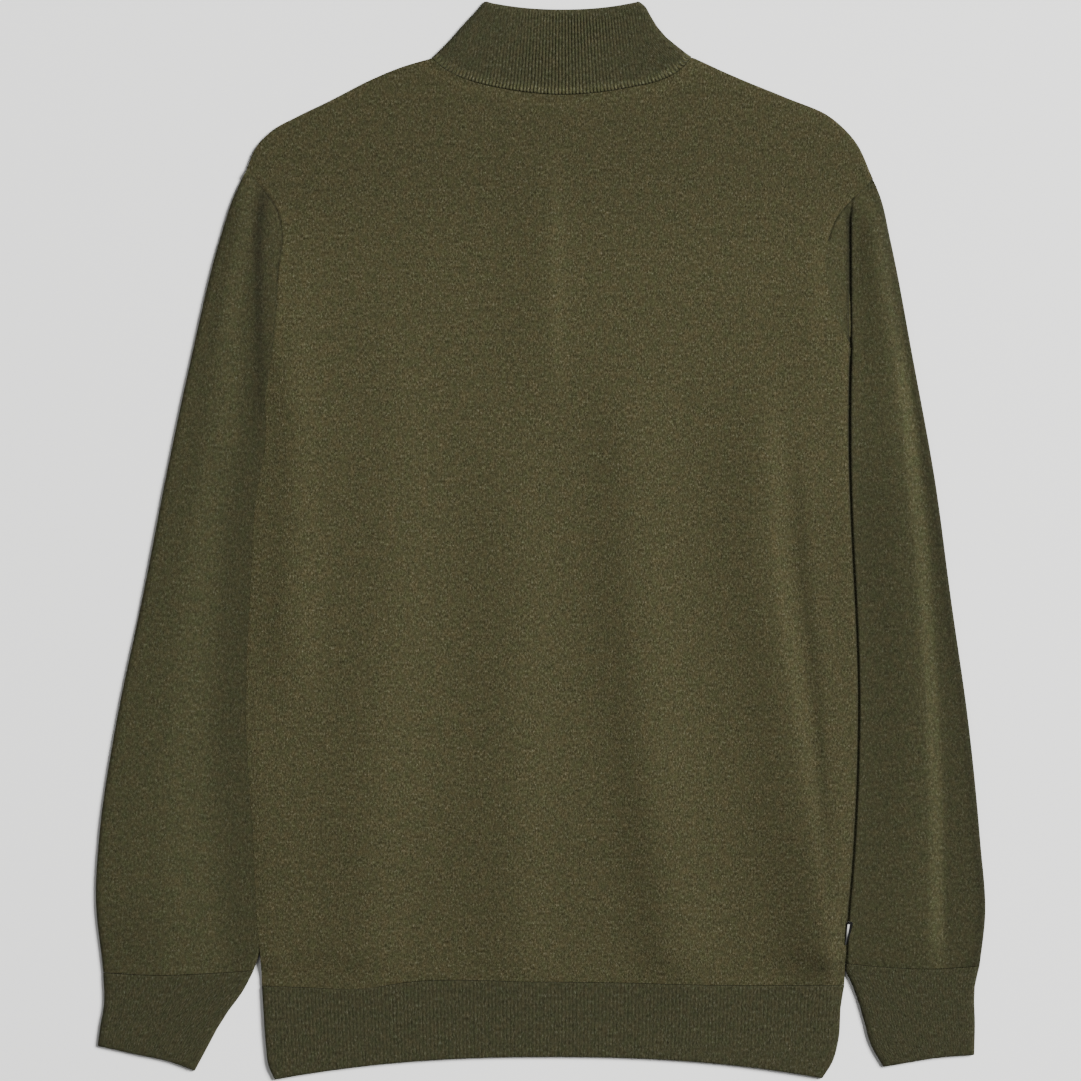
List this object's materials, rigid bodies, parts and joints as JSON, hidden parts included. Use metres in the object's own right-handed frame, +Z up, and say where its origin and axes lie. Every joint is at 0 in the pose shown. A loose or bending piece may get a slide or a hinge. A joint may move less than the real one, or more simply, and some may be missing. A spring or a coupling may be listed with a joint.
{
  "type": "knitted pullover with stand collar, laid flat",
  "caption": "Long-sleeved fine-knit pullover with ribbed stand collar, cuffs and hem, laid flat with its back side up and sleeves folded down.",
  "frame": {"origin": "on the surface that the garment lies on, under the middle of its outline", "axes": "+X across the garment to the right as seen from above, +Y from the hem to the collar, +Z up from the surface, out of the back panel"},
  "size_m": [0.6219, 0.7542, 0.0084],
  "materials": {
    "jersey": "matte olive-green melange plain knit",
    "rib": "matte olive-green ribbed knit",
    "label": "plain woven white tape"
  },
  "bodies": {
    "root": {"back": "jersey", "front": "jersey", "sleeve_left": "jersey", "sleeve_right": "jersey", "collar": "rib", "hem_back": "rib", "hem_front": "rib", "cuff_left": "rib", "cuff_right": "rib", "side_label": "label"}
  },
  "joints": []
}
